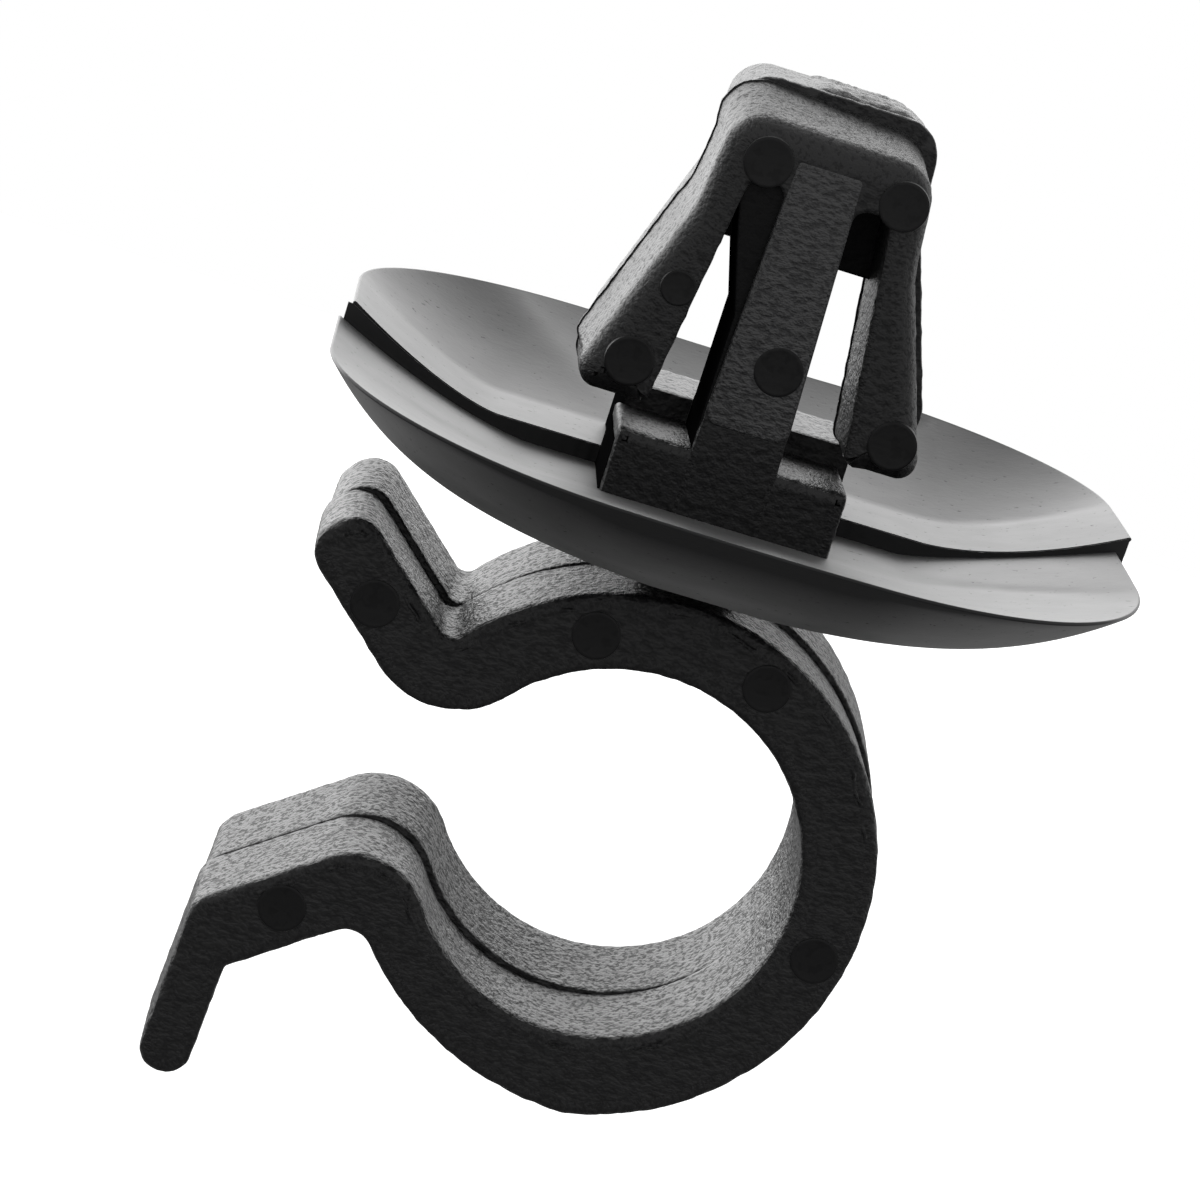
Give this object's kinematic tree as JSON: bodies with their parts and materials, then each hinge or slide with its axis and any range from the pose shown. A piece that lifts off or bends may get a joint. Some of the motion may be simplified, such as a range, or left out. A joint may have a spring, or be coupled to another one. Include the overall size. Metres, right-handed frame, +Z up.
{
  "type": "bonnet clip",
  "caption": "Snap-in bonnet stay clip: a C-shaped spring ring for the rod, a dished skirt, and an arrowhead anchor with sprung wings.",
  "frame": {"origin": "centre of the rod bore, on the plane where the halves of the mould meet", "axes": "+Z up the anchor's stem away from the ring, Y along the rod bore, and the ring's mouth opens towards -X"},
  "size_m": [0.0172, 0.0174, 0.0233],
  "materials": {
    "black_nylon": "black moulded nylon with a fine spark-eroded texture"
  },
  "bodies": {
    "root": {"bonnet_clip": "black_nylon"}
  },
  "joints": []
}
